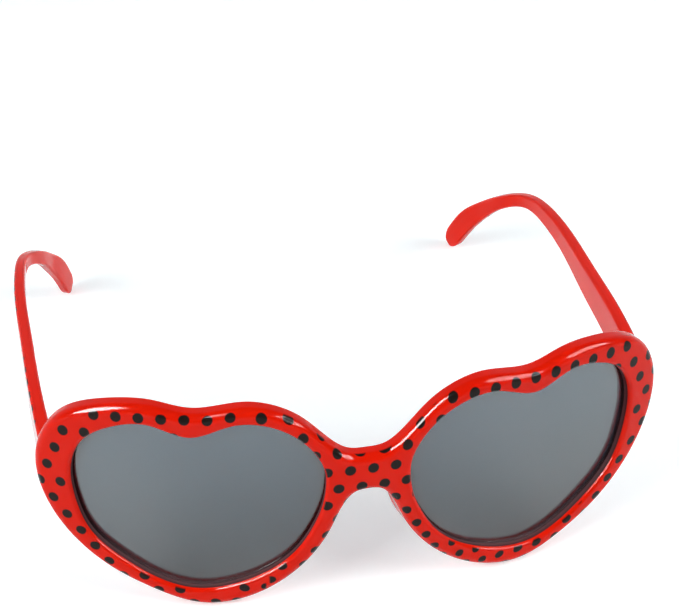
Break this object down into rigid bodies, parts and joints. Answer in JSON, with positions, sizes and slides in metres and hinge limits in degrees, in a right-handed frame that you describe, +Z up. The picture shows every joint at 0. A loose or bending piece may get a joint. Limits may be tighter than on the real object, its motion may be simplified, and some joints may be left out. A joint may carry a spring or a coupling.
{
  "type": "heart shaped sunglasses",
  "caption": "Bent moulded front with heart shaped rims, smoke grey lenses and folding ear-hook arms on small pin hinges, red with black polka dots.",
  "frame": {"origin": "middle of the bounding box in X and Y, on the table on which both hearts and both ear tips rest", "axes": "+X to the right as the front is looked at, the front faces -Y, the arms point along +Y, +Z up"},
  "size_m": [0.1476, 0.1478, 0.0601],
  "materials": {
    "red_front": "glossy moulded red with printed black dots",
    "red_arm": "satin gloss red, dots printed on the outer face",
    "smoke_lens": "smooth glossy smoke grey sheet, partly see-through",
    "hinge_steel": "stamped steel",
    "screw_steel": "bright plated screw"
  },
  "bodies": {
    "front": {"front_frame": "red_front", "left_lens": "smoke_lens", "right_lens": "smoke_lens", "left_hinge_front_leaf": "hinge_steel", "right_hinge_front_leaf": "hinge_steel", "left_hinge_screw": "screw_steel", "right_hinge_screw": "screw_steel"},
    "left_arm": {"left_temple": "red_arm", "left_hinge_temple_leaf": "hinge_steel"},
    "right_arm": {"right_temple": "red_arm", "right_hinge_temple_leaf": "hinge_steel"}
  },
  "joints": [
    {"name": "left_temple_hinge", "type": "hinge", "parent": "front", "child": "left_arm", "pos_m": [-0.06726, -0.04985, 0.03744], "axis": [0, 0.0557, -0.9984], "range_deg": [0, 83]},
    {"name": "right_temple_hinge", "type": "hinge", "parent": "front", "child": "right_arm", "pos_m": [0.06726, -0.04985, 0.03744], "axis": [0, -0.0557, 0.9984], "range_deg": [0, 88]}
  ]
}
